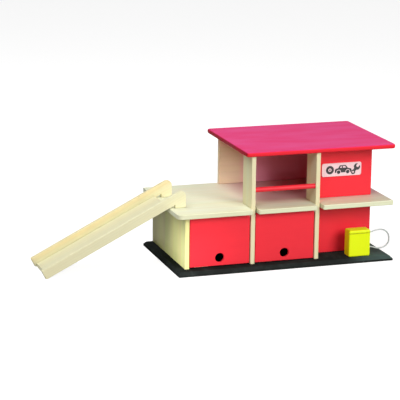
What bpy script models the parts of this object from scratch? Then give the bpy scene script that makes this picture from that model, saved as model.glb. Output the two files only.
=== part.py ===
"""Wooden toy garage: two storeys on a black base board, two lift-up doors, a drive-up ramp,
a roofed upper room with a railing, a fuel pump with its hose and a sign plate.

Metres, +Z up.  The origin is the centre of the base board's underside.
+X runs along the front from the ramp end to the fuel pump end, +Y points to the back.
"""
import math

import bmesh
import bpy
from mathutils import Matrix, Vector

# Driving dimensions, in metres and degrees
FIT = 0.0003                    # gap left between two pieces that touch

BASE_THICK = 0.0095
BASE_CHAMFER = 0.0055           # wide chamfer round the base board's top edge
BASE_LEFT_MARGIN = 0.0175       # base edge to the side panel's outer face
BASE_RIGHT_MARGIN = 0.0255      # base edge to the right wall's outer face
BASE_FRONT_MARGIN = 0.0195      # base edge to the front edges of the uprights
BASE_REAR_MARGIN = 0.007

PANEL_THICK = 0.009             # side panel, partitions and walls
PANEL_ROUNDING = 0.0012
BAY_WIDTH = 0.126               # clear width of a garage bay
SIGN_BAY_WIDTH = 0.119          # clear width behind the sign wall
BODY_DEPTH = 0.220              # front edges of the uprights to their rear edges
LOWER_HEIGHT = 0.104            # base board to floor board
UPPER_HEIGHT = 0.104            # floor board to roof
POST_DEPTH = 0.051              # front to back size of the posts that carry the roof

FLOOR_THICK = 0.0095
FLOOR_LEFT_OVERHANG = 0.0185
FLOOR_RIGHT_OVERHANG = 0.025
FLOOR_FRONT_OVERHANG = 0.014
FLOOR_REAR_OVERHANG = 0.007
FLOOR_DECK_RADIUS = 0.012       # at the deck's front corner
FLOOR_CORNER_RADIUS = 0.002     # at the other corners
FLOOR_ROUNDING = 0.0013
SLOT_SPARE = 0.0027             # width of the slots that the posts leave free at their right
SLOT_CHAMFER = 0.0018           # cut corners at the mouths of the slots for the posts

UPPER_WALL_INSET = 0.0045       # from the left post's outer face to the rear wall's free edge

ROOF_THICK = 0.009
ROOF_LEFT_OVERHANG = 0.013
ROOF_RIGHT_OVERHANG = 0.0295
ROOF_FRONT_OVERHANG = 0.0065
ROOF_REAR_OVERHANG = 0.0195
ROOF_CORNER_RADIUS = 0.006
ROOF_ROUNDING = 0.0028

RAILING_DIAMETER = 0.010
RAILING_HEIGHT = 0.0354         # floor board to the railing's centre
RAILING_SETBACK = 0.007         # front edges of the posts to the railing's centre
RAILING_SEAT = 0.0035           # depth of the blind holes in the posts

DOOR_THICK = 0.0066
DOOR_RECESS = 0.002             # behind the front edges of the uprights
DOOR_SIDE_GAP = 0.0015
DOOR_TOP_GAP = 0.0015
DOOR_BOTTOM_GAP = 0.0028
DOOR_ROUNDING = 0.001
FINGER_HOLE_DIAMETER = 0.0184
FINGER_HOLE_HEIGHT = 0.0185     # base board to the hole's centre
FINGER_HOLE_CHAMFER = 0.0008
HINGE_PIN_DIAMETER = 0.003
HINGE_PIN_DROP = 0.0052         # door's top edge down to the pin's axis
HINGE_PIN_SEAT = 0.0034         # depth of the pin's hole in the upright
HINGE_PIN_IN_DOOR = 0.014
HINGE_PIN_PLAY = 0.00035        # round the pin in the upright

DOOR_STOP_LENGTH = 0.030
DOOR_STOP_DEPTH = 0.008
DOOR_STOP_HEIGHT = 0.010
DOOR_STOP_INSET = 0.012         # from the upright on its left

SIGN_WIDTH = 0.085
SIGN_HEIGHT = 0.027
SIGN_THICK = 0.002
SIGN_RADIUS = 0.004
SIGN_ROUNDING = 0.0004
SIGN_ABOVE_FLOOR = 0.0571       # floor board to the sign's centre
SIGN_SHIFT = 0.0024             # sign's centre, left of the sign wall's middle

PUMP_WIDTH = 0.046
PUMP_DEPTH = 0.025
PUMP_HEIGHT = 0.0544
PUMP_ROUNDING = 0.0028
PUMP_FRONT_INSET = 0.0125       # base edge to the pump's front face
PUMP_RIGHT_INSET = 0.0193       # right wall's outer face to the pump's right face
PUMP_GROOVE_DROP = 0.0063       # pump's top down to the groove's centre
PUMP_GROOVE_WIDTH = 0.0018
PUMP_GROOVE_DEPTH = 0.0025
PUMP_DOWEL_DIAMETER = 0.006
PUMP_DOWEL_SPACING = 0.024
PUMP_DOWEL_IN_PUMP = 0.010
PUMP_DOWEL_IN_BASE = 0.005

HOSE_DIAMETER = 0.0030
HOSE_POINT_SPACING = 0.0057
HOSE_HOLE_DEPTH = 0.006
HOSE_TOP_HEIGHT = 0.0462        # base board to the hose's upper hole
HOSE_BOTTOM_HEIGHT = 0.0164     # base board to the hose's lower hole
# The hose's free loop, from the pump's right face outwards and from the base board upwards
HOSE_LOOP = (
    (0.0030, 0.0463),
    (0.0085, 0.0472),
    (0.0150, 0.0490),
    (0.0225, 0.0500),
    (0.0300, 0.0496),
    (0.0368, 0.0470),
    (0.0420, 0.0425),
    (0.0451, 0.0362),
    (0.0461, 0.0289),
    (0.0447, 0.0219),
    (0.0405, 0.0163),
    (0.0345, 0.0129),
    (0.0270, 0.0116),
    (0.0195, 0.0120),
    (0.0115, 0.0143),
    (0.0045, 0.0160),
)

RAMP_RUN = 0.2478               # floor board's left edge to the ramp's lower end
RAMP_CHANNEL = 0.0838           # clear width between the rails
RAMP_CENTRE_FROM_REAR = 0.1264  # rear edge of the uprights to the ramp's middle
RAMP_RAIL_THICK = 0.009
RAMP_RAIL_HEIGHT = 0.020        # square to the slope
RAMP_RAIL_ROUNDING = 0.0012
RAMP_BOARD_THICK = 0.005
RAMP_BOARD_ROUNDING = 0.0004
RAMP_TOE = 0.003                # flat that stands on the ground at the lower end
RAMP_LIFT = 0.0006              # air between the rails and the floor board's corner
RAMP_NOTCH = 0.0115             # from the floor board's left edge to the rails' feet
RAMP_FOOT = 0.022               # length of each foot that rests on the floor board
RAMP_END_RADIUS = 0.010
RAMP_NOSE = 0.0035              # slope planed off the ramp board's two ends
RAMP_BRAD_DIAMETER = 0.0016
RAMP_BRAD_IN_RAIL = 0.005
RAMP_BRAD_IN_BOARD = 0.008
RAMP_BRAD_PLACES = (0.14, 0.50, 0.86)

SCREW_LENGTH = 0.024
SCREW_SHANK_RADIUS = 0.0013
SCREW_THREAD_RADIUS = 0.0018
SCREW_HEAD_RADIUS = 0.0034
SCREW_HEAD_HEIGHT = 0.0026
SCREW_HEAD_RIM = 0.0004
SCREW_THREAD_PITCH = 0.0022
SCREW_THREAD_FLANK = 0.0013     # a thread's root down to its crest
SCREW_TIP = 0.003
SCREW_SLOT_LENGTH = 0.0048
SCREW_SLOT_WIDTH = 0.0009
SCREW_SLOT_DEPTH = 0.0010
SCREW_RECESS = 0.0006           # the heads lie this far inside the base board's underside
SCREW_END_INSET = 0.028         # from an upright's end to the screw
SCREW_CLEARANCE = 0.0004

ROOF_DOWEL_DIAMETER = 0.005
ROOF_DOWEL_IN_WALL = 0.012
ROOF_DOWEL_IN_ROOF = 0.005
ROOF_DOWEL_INSET = 0.030        # from the ends of a wall to its dowels

ROUND_STEPS = 28
SMALL_STEPS = 16
SCREW_STEPS = 10
CORNER_STEPS = 5
BEVEL_STEPS = 2
ROUND_OVER_STEPS = 3
SMOOTH_ANGLE = math.radians(38)
SHARP_EDGE = math.radians(50)
FLAT_ANGLE = math.radians(0.05)
MERGE = 0.00001
AXIS_MARK_SIZE = 0.01

# Places along X, left to right
body_length = 2 * (PANEL_THICK + BAY_WIDTH) + PANEL_THICK + SIGN_BAY_WIDTH + PANEL_THICK
base_length = BASE_LEFT_MARGIN + body_length + BASE_RIGHT_MARGIN
side_x0 = -base_length / 2 + BASE_LEFT_MARGIN
side_x1 = side_x0 + PANEL_THICK
post_1_x0 = side_x1 + BAY_WIDTH
post_1_x1 = post_1_x0 + PANEL_THICK
post_2_x0 = post_1_x1 + BAY_WIDTH
post_2_x1 = post_2_x0 + PANEL_THICK
wall_x1 = post_2_x1 + SIGN_BAY_WIDTH + PANEL_THICK
wall_x0 = wall_x1 - PANEL_THICK
floor_x0 = side_x0 - FLOOR_LEFT_OVERHANG
floor_x1 = wall_x1 + FLOOR_RIGHT_OVERHANG
upper_wall_x0 = post_1_x0 + UPPER_WALL_INSET

# Places along Y, front to back
base_depth = BASE_FRONT_MARGIN + BODY_DEPTH + BASE_REAR_MARGIN
front_y = -base_depth / 2 + BASE_FRONT_MARGIN
rear_y = front_y + BODY_DEPTH
rear_wall_y = rear_y - PANEL_THICK
post_rear_y = front_y + POST_DEPTH
front_wall_y = post_rear_y - PANEL_THICK
floor_front_y = front_y - FLOOR_FRONT_OVERHANG
floor_rear_y = rear_y + FLOOR_REAR_OVERHANG

# Levels, bottom to top
base_top = BASE_THICK
floor_bottom = base_top + LOWER_HEIGHT
floor_top = floor_bottom + FLOOR_THICK
roof_bottom = floor_top + UPPER_HEIGHT
roof_top = roof_bottom + ROOF_THICK

# Doors and pump
door_front_y = front_y + DOOR_RECESS
door_rear_y = door_front_y + DOOR_THICK
door_top = floor_bottom - DOOR_TOP_GAP
door_bottom = base_top + DOOR_BOTTOM_GAP
hinge_y = door_front_y + DOOR_THICK / 2
hinge_z = door_top - HINGE_PIN_DROP
pump_x1 = wall_x1 - PUMP_RIGHT_INSET
pump_x0 = pump_x1 - PUMP_WIDTH
pump_y0 = -base_depth / 2 + PUMP_FRONT_INSET
pump_y1 = pump_y0 + PUMP_DEPTH
pump_y = (pump_y0 + pump_y1) / 2
pump_top = base_top + FIT + PUMP_HEIGHT

# Ramp
ramp_y = rear_y - RAMP_CENTRE_FROM_REAR
ramp_inner_front_y = ramp_y - RAMP_CHANNEL / 2
ramp_inner_rear_y = ramp_y + RAMP_CHANNEL / 2
ramp_x0 = floor_x0 - RAMP_RUN
ramp_slope = math.atan2(floor_top + RAMP_LIFT, RAMP_RUN - RAMP_TOE)
ramp_along = Vector((math.cos(ramp_slope), 0, math.sin(ramp_slope)))
ramp_up = Vector((-math.sin(ramp_slope), 0, math.cos(ramp_slope)))
ramp_heel = Vector((ramp_x0 + RAMP_TOE, 0, 0))

X_AXIS = Matrix.Rotation(math.radians(90), 4, "Y")
Y_AXIS = Matrix.Rotation(math.radians(-90), 4, "X")
Z_AXIS = Matrix.Identity(4)

parts = None
cutters = None


def clear_scene():
    """Remove every object of the open scene and make the two collections."""
    global parts, cutters
    for old in list(bpy.data.objects):
        bpy.data.objects.remove(old, do_unlink=True)
    parts = bpy.data.collections.new("wooden_toy_garage")
    cutters = bpy.data.collections.new("cutters")
    bpy.context.scene.collection.children.link(parts)
    bpy.context.scene.collection.children.link(cutters)


def principled(name, colour, roughness, metallic=0.0):
    material = bpy.data.materials.new(name)
    material.use_nodes = True
    shader = material.node_tree.nodes["Principled BSDF"]
    shader.inputs["Base Color"].default_value = (*colour, 1.0)
    shader.inputs["Roughness"].default_value = roughness
    shader.inputs["Metallic"].default_value = metallic
    material.diffuse_color = (*colour, 1.0)
    return material


def make_materials():
    return {
        "wood": principled("natural_wood", (0.78, 0.66, 0.46), 0.55),
        "red": principled("red_paint", (0.72, 0.035, 0.055), 0.38),
        "black": principled("black_paint", (0.02, 0.026, 0.024), 0.35),
        "yellow": principled("yellow_paint", (0.82, 0.80, 0.02), 0.35),
        "sign": principled("white_card", (0.86, 0.74, 0.76), 0.5),
        "hose": principled("clear_hose", (0.80, 0.84, 0.82), 0.3),
        "steel": principled("bright_steel", (0.62, 0.62, 0.60), 0.3, 1.0),
    }


def add_object(name, mesh, material=None, collection=None, at=(0, 0, 0)):
    """Place a mesh in a collection, the parts' one unless another is given."""
    made = bpy.data.objects.new(name, mesh)
    made.location = at
    (collection or parts).objects.link(made)
    if material:
        mesh.materials.append(material)
    if collection is cutters:
        made.hide_render = True
        made.display_type = "WIRE"
    return made


def mesh_from(name, build):
    """Run a bmesh building function and return its mesh."""
    shape = bmesh.new()
    build(shape)
    bmesh.ops.recalc_face_normals(shape, faces=shape.faces)
    mesh = bpy.data.meshes.new(name)
    shape.to_mesh(mesh)
    shape.free()
    return mesh


def box(name, low, high, material=None, collection=None):
    """A box between two corners, with its origin at its centre."""
    low, high = Vector(low), Vector(high)
    size = high - low

    def build(shape):
        scaling = Matrix.Diagonal((*size, 1.0))
        bmesh.ops.create_cube(shape, size=1.0, matrix=scaling)

    return add_object(name, mesh_from(name, build), material, collection, (low + high) / 2)


def rod(name, centre, turn, length, diameter, material=None, collection=None, steps=ROUND_STEPS):
    """A round rod about the axis that turn gives, with its origin at its centre."""

    def build(shape):
        bmesh.ops.create_cone(
            shape, cap_ends=True, segments=steps, radius1=diameter / 2, radius2=diameter / 2,
            depth=length, matrix=turn)

    made = add_object(name, mesh_from(name, build), material, collection, centre)
    shade_round(made)
    return made


def shade_round(made):
    made.data.shade_smooth()
    made.data.set_sharp_from_angle(angle=SMOOTH_ANGLE)


def baked(made):
    """Turn an object's evaluated form into a plain closed mesh object of the same name."""
    bpy.context.view_layer.update()
    evaluated = made.evaluated_get(bpy.context.evaluated_depsgraph_get())
    mesh = bpy.data.meshes.new_from_object(evaluated)
    shape = bmesh.new()
    shape.from_mesh(mesh)
    bmesh.ops.remove_doubles(shape, verts=shape.verts, dist=MERGE)
    bmesh.ops.dissolve_limit(
        shape, angle_limit=FLAT_ANGLE, verts=shape.verts, edges=shape.edges)
    bmesh.ops.recalc_face_normals(shape, faces=shape.faces)
    shape.to_mesh(mesh)
    shape.free()
    name, place = made.name, made.matrix_world.copy()
    holder = made.users_collection[0]
    bpy.data.objects.remove(made, do_unlink=True)
    solid = add_object(name, mesh, None, holder)
    solid.matrix_world = place
    return solid


def plate(name, outline, thick, turn, at, material):
    """A flat piece: a filled outline, extruded, turned by a matrix and moved to a place."""
    curve = bpy.data.curves.new(name, "CURVE")
    curve.dimensions = "2D"
    curve.fill_mode = "BOTH"
    curve.extrude = thick / 2
    line = curve.splines.new("POLY")
    line.points.add(len(outline) - 1)
    for point, (across, up) in zip(line.points, outline):
        point.co = (across, up, 0, 1)
    line.use_cyclic_u = True
    flat = bpy.data.objects.new(name, curve)
    parts.objects.link(flat)
    flat.matrix_world = Matrix.Translation(at) @ turn
    solid = baked(flat)
    solid.data.transform(turn)
    solid.matrix_world = Matrix.Translation(at)
    solid.data.materials.clear()
    solid.data.materials.append(material)
    return solid


# An outline drawn in X and Z, then in Y and Z, as matrices for plate()
XZ_PLANE = Matrix(((1, 0, 0, 0), (0, 0, -1, 0), (0, 1, 0, 0), (0, 0, 0, 1)))
YZ_PLANE = Matrix(((0, 0, 1, 0), (1, 0, 0, 0), (0, 1, 0, 0), (0, 0, 0, 1)))


def arc(centre, radius, start, end, steps=CORNER_STEPS):
    """Points of an arc from one angle to another, in degrees."""
    points = []
    for step in range(steps + 1):
        angle = math.radians(start + (end - start) * step / steps)
        points.append((centre[0] + radius * math.cos(angle), centre[1] + radius * math.sin(angle)))
    return points


def rounded_rectangle(x0, y0, x1, y1, radius):
    return (arc((x1 - radius, y0 + radius), radius, -90, 0)
            + arc((x1 - radius, y1 - radius), radius, 0, 90)
            + arc((x0 + radius, y1 - radius), radius, 90, 180)
            + arc((x0 + radius, y0 + radius), radius, 180, 270))


def round_edges(made, width, steps=BEVEL_STEPS):
    """Ease the sharp outer edges, as sanding does, and leave inner corners sharp."""
    shape = bmesh.new()
    shape.from_mesh(made.data)
    weight = shape.edges.layers.float.new("bevel_weight_edge")
    for edge in shape.edges:
        edge[weight] = 1.0 if edge.calc_face_angle_signed() > SHARP_EDGE else 0.0
    shape.to_mesh(made.data)
    shape.free()
    easing = made.modifiers.new("eased edges", "BEVEL")
    easing.width = width
    easing.segments = steps
    easing.limit_method = "WEIGHT"
    shade_round(made)


def cut(made, cutter):
    boolean = made.modifiers.new(cutter.name, "BOOLEAN")
    boolean.operation = "DIFFERENCE"
    boolean.solver = "EXACT"
    boolean.object = cutter


def hole(made, name, centre, turn, length, diameter, steps=ROUND_STEPS):
    """Bore a hole of a length about a centre."""
    cut(made, rod(name, centre, turn, length, diameter, None, cutters, steps))


def turned(name, profile, at, material=None, collection=None, steps=SMALL_STEPS):
    """A turned piece: a profile in X and Z, listed from top to bottom, spun about Z."""
    mesh = bpy.data.meshes.new(name)
    mesh.from_pydata([(radius, 0, height) for radius, height in profile],
                     [(index, index + 1) for index in range(len(profile) - 1)], [])
    made = add_object(name, mesh, material, collection, at)
    spin = made.modifiers.new("turning", "SCREW")
    spin.angle = math.tau
    spin.steps = steps
    spin.render_steps = steps
    spin.use_merge_vertices = True
    spin.merge_threshold = MERGE
    return made


def put_under(axis_name, at, pieces):
    """Parent pieces to an empty that stands on their joint's axis."""
    axis = bpy.data.objects.new(axis_name, None)
    axis.location = at
    axis.empty_display_size = AXIS_MARK_SIZE
    parts.objects.link(axis)
    for piece in pieces:
        piece.location = Vector(piece.location) - Vector(at)
        piece.parent = axis


def base_board(material):
    board = box("base_board", (-base_length / 2, -base_depth / 2, 0),
                (base_length / 2, base_depth / 2, BASE_THICK), material)
    shape = bmesh.new()
    shape.from_mesh(board.data)
    top = max(vertex.co.z for vertex in shape.verts)
    rim = [edge for edge in shape.edges if all(vertex.co.z > top - MERGE for vertex in edge.verts)]
    bmesh.ops.bevel(shape, geom=rim, offset=BASE_CHAMFER, offset_type="OFFSET", segments=1,
                    profile=0.5, affect="EDGES")
    shape.to_mesh(board.data)
    shape.free()
    for index, (x, y) in enumerate(screw_places()):
        cut(board, turned(f"screw_sink_{index}", screw_sink_profile(), (x, y, 0), None, cutters,
                          SCREW_STEPS))
    for index, x in enumerate(pump_dowel_places()):
        hole(board, f"pump_dowel_seat_{index}", (x, pump_y, base_top), Z_AXIS,
             2 * (PUMP_DOWEL_IN_BASE + FIT), PUMP_DOWEL_DIAMETER + 2 * FIT, SMALL_STEPS)
    return board


def screw_places():
    """Where the base board is screwed to the four uprights, two screws each."""
    places = []
    for x in (side_x0, post_1_x0, post_2_x0):
        places.append((x + PANEL_THICK / 2, front_y + SCREW_END_INSET))
        places.append((x + PANEL_THICK / 2, rear_wall_y - SCREW_END_INSET))
    places.append((wall_x0 + PANEL_THICK / 2, post_rear_y + SCREW_END_INSET))
    places.append((wall_x0 + PANEL_THICK / 2, rear_wall_y - SCREW_END_INSET))
    return places


def screw_sink_profile():
    """Clearance hole and countersink, from above the board down past its underside."""
    shank = SCREW_THREAD_RADIUS + SCREW_CLEARANCE
    head = SCREW_HEAD_RADIUS + SCREW_CLEARANCE
    head_top = SCREW_RECESS + SCREW_HEAD_HEIGHT
    return [(0, BASE_THICK + FIT), (shank, BASE_THICK + FIT), (shank, head_top),
            (head, SCREW_RECESS), (head, -FIT), (0, -FIT)]


def screw_profile():
    """A countersunk wood screw standing on its head, from its tip down."""
    profile = [(0, SCREW_LENGTH), (SCREW_SHANK_RADIUS, SCREW_LENGTH - SCREW_TIP)]
    height = SCREW_LENGTH - SCREW_TIP
    while height - SCREW_THREAD_PITCH > BASE_THICK:
        profile.append((SCREW_THREAD_RADIUS, height - SCREW_THREAD_FLANK))
        profile.append((SCREW_SHANK_RADIUS, height - SCREW_THREAD_PITCH))
        height -= SCREW_THREAD_PITCH
    profile.append((SCREW_SHANK_RADIUS, SCREW_HEAD_HEIGHT))
    profile.append((SCREW_HEAD_RADIUS, SCREW_HEAD_RIM))
    profile.append((SCREW_HEAD_RADIUS, 0))
    profile.append((0, 0))
    return profile


def base_screws(material):
    """Eight like screws, up through the base board into the uprights."""
    pattern = turned("screw_pattern", screw_profile(), (0, 0, 0), material, None, SCREW_STEPS)
    slots = ((SCREW_SLOT_LENGTH, SCREW_SLOT_WIDTH), (SCREW_SLOT_WIDTH, SCREW_SLOT_LENGTH))
    for index, (width, depth) in enumerate(slots):
        slot = box(f"screw_slot_{index}", (-width / 2, -depth / 2, -SCREW_SLOT_DEPTH),
                   (width / 2, depth / 2, SCREW_SLOT_DEPTH), None, cutters)
        cut(pattern, slot)
    screw = baked(pattern)
    shade_round(screw)
    for index, (x, y) in enumerate(screw_places()):
        add_object(f"base_screw_{index + 1}", screw.data, None, None, (x, y, SCREW_RECESS))
    bpy.data.objects.remove(screw, do_unlink=True)


def drill_for_screws(made, x0):
    """Pilot holes in an upright's bottom edge for the screws that fall on it."""
    for index, (x, y) in enumerate(screw_places()):
        if x0 < x < x0 + PANEL_THICK:
            depth = SCREW_RECESS + SCREW_LENGTH + 2 * SCREW_CLEARANCE - base_top
            hole(made, f"screw_pilot_{index}", (x, y, base_top), Z_AXIS, 2 * depth,
                 2 * (SCREW_THREAD_RADIUS + SCREW_CLEARANCE), SCREW_STEPS)


def upright(name, x0, outline, material):
    """A panel that stands across the garage, from its outline in Y and Z."""
    made = plate(name, outline, PANEL_THICK, YZ_PLANE, (x0 + PANEL_THICK / 2, 0, 0), material)
    round_edges(made, PANEL_ROUNDING)
    drill_for_screws(made, x0)
    return made


def side_panel_left(material):
    low, high = base_top + FIT, floor_bottom - FIT
    outline = [(front_y, low), (rear_y, low), (rear_y, high), (front_y, high)]
    panel = upright("side_panel_left", side_x0, outline, material)
    hinge_seat(panel, "door_left_pin_seat_0", side_x1)
    return panel


def partition_outline():
    """An L: full depth under the floor board, only the front post above it."""
    low, shoulder, high = base_top + FIT, floor_bottom - FIT, roof_bottom - FIT
    return [(front_y, low), (rear_wall_y - FIT, low), (rear_wall_y - FIT, shoulder),
            (post_rear_y, shoulder), (post_rear_y, high), (front_y, high)]


def hinge_seat(upright_panel, name, face_x):
    """Blind hole for a hinge pin in the face of an upright."""
    hole(upright_panel, name, (face_x, hinge_y, hinge_z), X_AXIS, 2 * HINGE_PIN_SEAT,
         HINGE_PIN_DIAMETER + 2 * HINGE_PIN_PLAY, SMALL_STEPS)


def railing_seat(upright_panel, name, face_x):
    """Blind hole for the railing in the inner face of a post."""
    hole(upright_panel, name, (face_x, front_y + RAILING_SETBACK, floor_top + RAILING_HEIGHT),
         X_AXIS, 2 * RAILING_SEAT, RAILING_DIAMETER + 2 * FIT)


def partition_left(material):
    panel = upright("partition_left", post_1_x0, partition_outline(), material)
    hinge_seat(panel, "door_left_pin_seat_1", post_1_x0)
    hinge_seat(panel, "door_middle_pin_seat_0", post_1_x1)
    railing_seat(panel, "railing_seat_left", post_1_x1)
    roof_dowel_seats(panel, "partition_left")
    return panel


def partition_right(material):
    panel = upright("partition_right", post_2_x0, partition_outline(), material)
    hinge_seat(panel, "door_middle_pin_seat_1", post_2_x0)
    railing_seat(panel, "railing_seat_right", post_2_x0)
    roof_dowel_seats(panel, "partition_right")
    return panel


def walls(wood, red):
    """Front, side and rear walls of both storeys, butted at the corners."""
    storeys = (("lower", base_top + FIT, floor_bottom - FIT, side_x1 + FIT),
               ("upper", floor_top + FIT, roof_bottom - FIT, upper_wall_x0))
    for storey, low, high, rear_x0 in storeys:
        front = box(f"front_wall_{storey}", (post_2_x1 + FIT, front_wall_y, low),
                    (wall_x1, post_rear_y, high), red)
        side = box(f"side_wall_{storey}", (wall_x0, post_rear_y + FIT, low),
                   (wall_x1, rear_wall_y - FIT, high), red)
        rear = box(f"rear_wall_{storey}", (rear_x0, rear_wall_y, low), (wall_x1, rear_y, high), wood)
        for wall in (front, side, rear):
            round_edges(wall, PANEL_ROUNDING)
            if storey == "upper":
                roof_dowel_seats(wall, wall.name)
        if storey == "lower":
            drill_for_screws(side, wall_x0)


def slot_outline(x0, x1):
    """The floor board's front edge round a post, left to right."""
    left, right, end = x0 - FIT, x1 + FIT + SLOT_SPARE, post_rear_y + FIT
    return [(left - SLOT_CHAMFER, floor_front_y), (left, floor_front_y + SLOT_CHAMFER), (left, end),
            (right, end), (right, floor_front_y + SLOT_CHAMFER), (right + SLOT_CHAMFER, floor_front_y)]


def floor_board(material):
    """Deck, upper floor and canopy in one board, slotted over the two posts."""
    big, small = FLOOR_DECK_RADIUS, FLOOR_CORNER_RADIUS
    outline = arc((floor_x0 + big, floor_front_y + big), big, 180, 270)
    outline += slot_outline(post_1_x0, post_1_x1)
    outline += slot_outline(post_2_x0, post_2_x1)
    outline += arc((floor_x1 - small, floor_front_y + small), small, -90, 0)
    outline += arc((floor_x1 - small, floor_rear_y - small), small, 0, 90)
    outline += arc((floor_x0 + small, floor_rear_y - small), small, 90, 180)
    board = plate("floor_board", outline, FLOOR_THICK, Z_AXIS,
                  (0, 0, (floor_bottom + floor_top) / 2), material)
    round_edges(board, FLOOR_ROUNDING)
    return board


def roof_board(material):
    outline = rounded_rectangle(post_1_x0 - ROOF_LEFT_OVERHANG, front_y - ROOF_FRONT_OVERHANG,
                                wall_x1 + ROOF_RIGHT_OVERHANG, rear_y + ROOF_REAR_OVERHANG,
                                ROOF_CORNER_RADIUS)
    board = plate("roof_board", outline, ROOF_THICK, Z_AXIS,
                  (0, 0, (roof_bottom + roof_top) / 2), material)
    round_edges(board, ROOF_ROUNDING, ROUND_OVER_STEPS)
    roof_dowel_seats(board, "roof_board")
    return board


def roof_dowel_places():
    """Each dowel's place and the piece whose top edge it stands in."""
    post_y = (front_y + post_rear_y) / 2
    half = PANEL_THICK / 2
    return (
        (post_1_x0 + half, post_y, "partition_left"),
        (post_2_x0 + half, post_y, "partition_right"),
        (wall_x1 - ROOF_DOWEL_INSET, front_wall_y + half, "front_wall_upper"),
        (wall_x0 + half, rear_wall_y - ROOF_DOWEL_INSET, "side_wall_upper"),
        (upper_wall_x0 + ROOF_DOWEL_INSET, rear_wall_y + half, "rear_wall_upper"),
        (wall_x1 - ROOF_DOWEL_INSET, rear_wall_y + half, "rear_wall_upper"),
    )


def roof_dowel_seats(made, owner):
    """Blind holes for the dowels that hold the roof, in one wall or in the roof itself."""
    for index, (x, y, wall) in enumerate(roof_dowel_places()):
        if owner in (wall, "roof_board"):
            depth = ROOF_DOWEL_IN_ROOF if owner == "roof_board" else ROOF_DOWEL_IN_WALL
            level = roof_bottom if owner == "roof_board" else roof_bottom - FIT
            hole(made, f"roof_dowel_seat_{owner}_{index}", (x, y, level), Z_AXIS,
                 2 * (depth + FIT), ROOF_DOWEL_DIAMETER + 2 * FIT, SMALL_STEPS)


def like_rods(name, places, turn, length, diameter, material):
    """Like rods at several places, numbered from 1, on one shared mesh."""
    rods = [rod(f"{name}_1", places[0], turn, length, diameter, material, None, SMALL_STEPS)]
    for index, place in enumerate(places[1:], start=2):
        rods.append(add_object(f"{name}_{index}", rods[0].data, None, None, place))
    return rods


def roof_dowels(material):
    low = roof_bottom - FIT - ROOF_DOWEL_IN_WALL
    high = roof_bottom + ROOF_DOWEL_IN_ROOF
    places = [(x, y, (low + high) / 2) for x, y, wall in roof_dowel_places()]
    return like_rods("roof_dowel", places, Z_AXIS, high - low, ROOF_DOWEL_DIAMETER, material)


def railing(material):
    length = BAY_WIDTH + 2 * (RAILING_SEAT - FIT)
    centre = ((post_1_x1 + post_2_x0) / 2, front_y + RAILING_SETBACK, floor_top + RAILING_HEIGHT)
    return rod("railing", centre, X_AXIS, length, RAILING_DIAMETER, material)


def door(side, x0, x1, material, steel):
    """A door panel with its finger hole and its two pins, hung between two uprights."""
    left, right = x0 + DOOR_SIDE_GAP, x1 - DOOR_SIDE_GAP
    centre = (left + right) / 2
    panel = box(f"door_{side}", (left, door_front_y, door_bottom), (right, door_rear_y, door_top),
                material)
    round_edges(panel, DOOR_ROUNDING)
    radius, flare = FINGER_HOLE_DIAMETER / 2, FINGER_HOLE_CHAMFER
    half = DOOR_THICK / 2
    profile = [(0, half + FIT), (radius + flare + FIT, half + FIT), (radius, half - flare),
               (radius, flare - half), (radius + flare + FIT, -half - FIT), (0, -half - FIT)]
    finger_hole = turned(f"finger_hole_{side}", profile,
                         (centre, hinge_y, base_top + FINGER_HOLE_HEIGHT), None, cutters, ROUND_STEPS)
    finger_hole.rotation_euler = (math.radians(90), 0, 0)
    cut(panel, finger_hole)
    pins = hinge_pins(side, x0, x1, steel)
    for index, edge in enumerate((left, right)):
        hole(panel, f"door_{side}_pin_bore_{index}", (edge, hinge_y, hinge_z), X_AXIS,
             2 * (HINGE_PIN_IN_DOOR + FIT), HINGE_PIN_DIAMETER + 2 * FIT, SMALL_STEPS)
    put_under(f"door_{side}_axis", (centre, hinge_y, hinge_z), (panel, *pins))
    return panel


def hinge_pins(side, x0, x1, material):
    """The two pins that a door hangs on."""
    reach = HINGE_PIN_SEAT - FIT
    length = reach + DOOR_SIDE_GAP + HINGE_PIN_IN_DOOR
    places = [(x0 - reach + length / 2, hinge_y, hinge_z), (x1 + reach - length / 2, hinge_y, hinge_z)]
    return like_rods(f"hinge_pin_{side}", places, X_AXIS, length, HINGE_PIN_DIAMETER, material)


def door_stop(side, x0, material):
    """A cleat on the base board, which the closed door leans on."""
    low = (x0 + DOOR_STOP_INSET, door_rear_y + FIT, base_top + FIT)
    size = Vector((DOOR_STOP_LENGTH, DOOR_STOP_DEPTH, DOOR_STOP_HEIGHT + DOOR_BOTTOM_GAP))
    stop = box(f"door_stop_{side}", low, Vector(low) + size, material)
    round_edges(stop, PANEL_ROUNDING)
    return stop


def sign_plate(material):
    outline = rounded_rectangle(-SIGN_WIDTH / 2, -SIGN_HEIGHT / 2, SIGN_WIDTH / 2, SIGN_HEIGHT / 2,
                                SIGN_RADIUS)
    centre = ((post_2_x1 + wall_x1) / 2 - SIGN_SHIFT, front_wall_y - FIT - SIGN_THICK / 2,
              floor_top + SIGN_ABOVE_FLOOR)
    sign = plate("sign_plate", outline, SIGN_THICK, XZ_PLANE, centre, material)
    round_edges(sign, SIGN_ROUNDING)
    return sign


def pump_dowel_places():
    centre = (pump_x0 + pump_x1) / 2
    return (centre - PUMP_DOWEL_SPACING / 2, centre + PUMP_DOWEL_SPACING / 2)


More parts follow.
